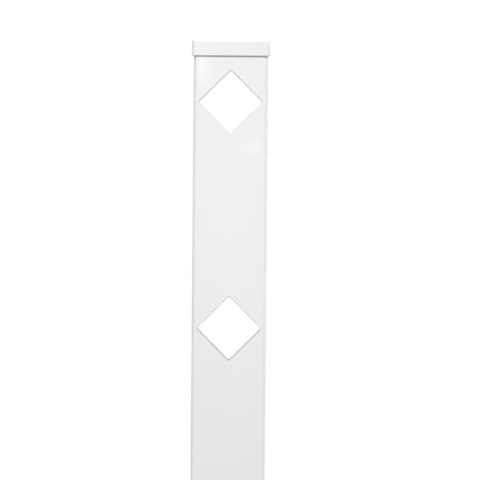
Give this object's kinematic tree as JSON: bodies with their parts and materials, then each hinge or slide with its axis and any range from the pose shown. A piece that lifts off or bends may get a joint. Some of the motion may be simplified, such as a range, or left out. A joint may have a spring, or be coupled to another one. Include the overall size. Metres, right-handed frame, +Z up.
{
  "type": "vinyl fence line post",
  "caption": "Hollow square vinyl fence post with diamond rail holes routed through its front and back walls, closed by a flat moulded cap over its upper end.",
  "frame": {"origin": "middle of the post's sawn lower end", "axes": "+Z up the post; -Y out of the front face, along the rails; +X across the front face, to the right seen from the front"},
  "size_m": [0.1344, 0.1344, 1.527],
  "materials": {
    "post_vinyl": "satin extruded white vinyl",
    "cap_vinyl": "satin moulded white vinyl"
  },
  "bodies": {
    "root": {"post": "post_vinyl", "cap": "cap_vinyl"}
  },
  "joints": []
}
